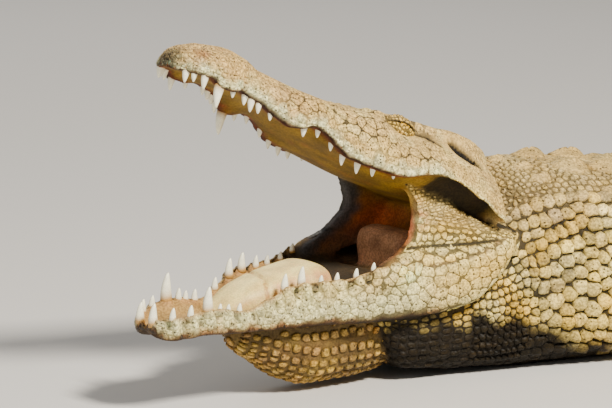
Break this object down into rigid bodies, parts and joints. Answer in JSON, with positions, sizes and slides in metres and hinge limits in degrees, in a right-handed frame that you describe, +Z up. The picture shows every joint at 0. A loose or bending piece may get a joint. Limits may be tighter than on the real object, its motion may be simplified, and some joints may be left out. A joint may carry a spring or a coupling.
{
  "type": "nile crocodile",
  "caption": "Still, life-size model of a Nile crocodile lying on its belly with the head raised and turned and the jaws held wide open.",
  "frame": {"origin": "on the floor under the middle of the whole animal's bounding box", "axes": "+Z up; the trunk lies along X with the head towards -X and the tail towards +X; the animal's left side, towards which its head is turned, faces -Y"},
  "size_m": [3.6282, 1.3772, 0.4779],
  "materials": {
    "hide_head": "dry scaly head skin, sandy tan with dark cracks between the scales",
    "hide_jaw": "pale cream and greenish skin with small black pits",
    "hide_throat": "wet golden-brown pouch skin with rows of long scales",
    "hide_body": "scaly hide, olive brown back, yellow flanks with dark grooves, cream belly",
    "mouth": "moist mouth lining, olive yellow to orange red",
    "tongue": "moist pale yellow tongue",
    "teeth": "enamel, white with amber roots",
    "claws": "dark horn",
    "eye": "wet golden-green eye with an upright slit pupil"
  },
  "bodies": {
    "root": {"head": "hide_head", "lower_jaw": "hide_jaw", "throat": "hide_throat", "tongue": "tongue", "eye_left": "eye", "eye_right": "eye", "neck": "hide_body", "trunk": "hide_body", "tail_1": "hide_body", "tail_2": "hide_body", "tail_3": "hide_body", "tail_4": "hide_body", "front_leg_left_upper": "hide_body", "front_leg_left_lower": "hide_body", "front_foot_left": "hide_body", "front_leg_right_upper": "hide_body", "front_leg_right_lower": "hide_body", "front_foot_right": "hide_body", "hind_leg_left_upper": "hide_body", "hind_leg_left_lower": "hide_body", "hind_foot_left": "hide_body", "hind_leg_right_upper": "hide_body", "hind_leg_right_lower": "hide_body", "hind_foot_right": "hide_body"}
  },
  "joints": []
}
